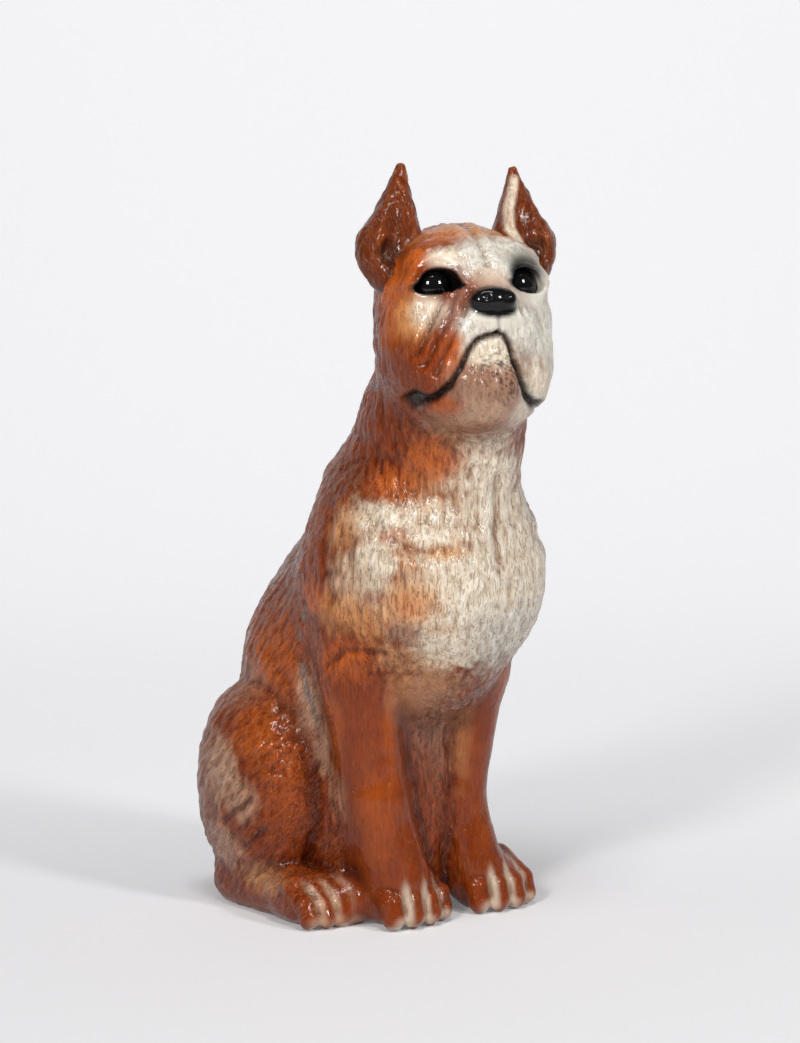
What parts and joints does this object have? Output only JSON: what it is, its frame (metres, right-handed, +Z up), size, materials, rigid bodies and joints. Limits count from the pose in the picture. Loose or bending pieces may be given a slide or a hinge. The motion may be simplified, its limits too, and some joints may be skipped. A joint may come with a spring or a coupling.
{
  "type": "seated dog figure",
  "caption": "Hollow painted plaster figure of a seated short-haired dog with upright cropped ears, its head turned aside.",
  "frame": {"origin": "on the underside, between fore and hind paws, in the dog's middle plane", "axes": "-Y is the way the chest faces, +X the dog's left, +Z up to the ears"},
  "size_m": [0.13, 0.189, 0.3423],
  "materials": {
    "painted_front": "airbrushed paint under gloss lacquer",
    "painted_back": "airbrushed paint under gloss lacquer",
    "painted_ears": "airbrushed paint under gloss lacquer",
    "eyes": "gloss black paint",
    "wire": "plain drawn wire",
    "bare_plaster": "bare cast plaster",
    "disc_plaster": "bare cast plaster"
  },
  "bodies": {
    "root": {"front_casting": "painted_front", "back_casting": "painted_back", "ear_right": "painted_ears", "ear_left": "painted_ears", "eye_right": "eyes", "eye_left": "eyes", "ear_wire_right": "wire", "ear_wire_left": "wire", "seam_bead": "bare_plaster", "base_disc": "disc_plaster"}
  },
  "joints": []
}
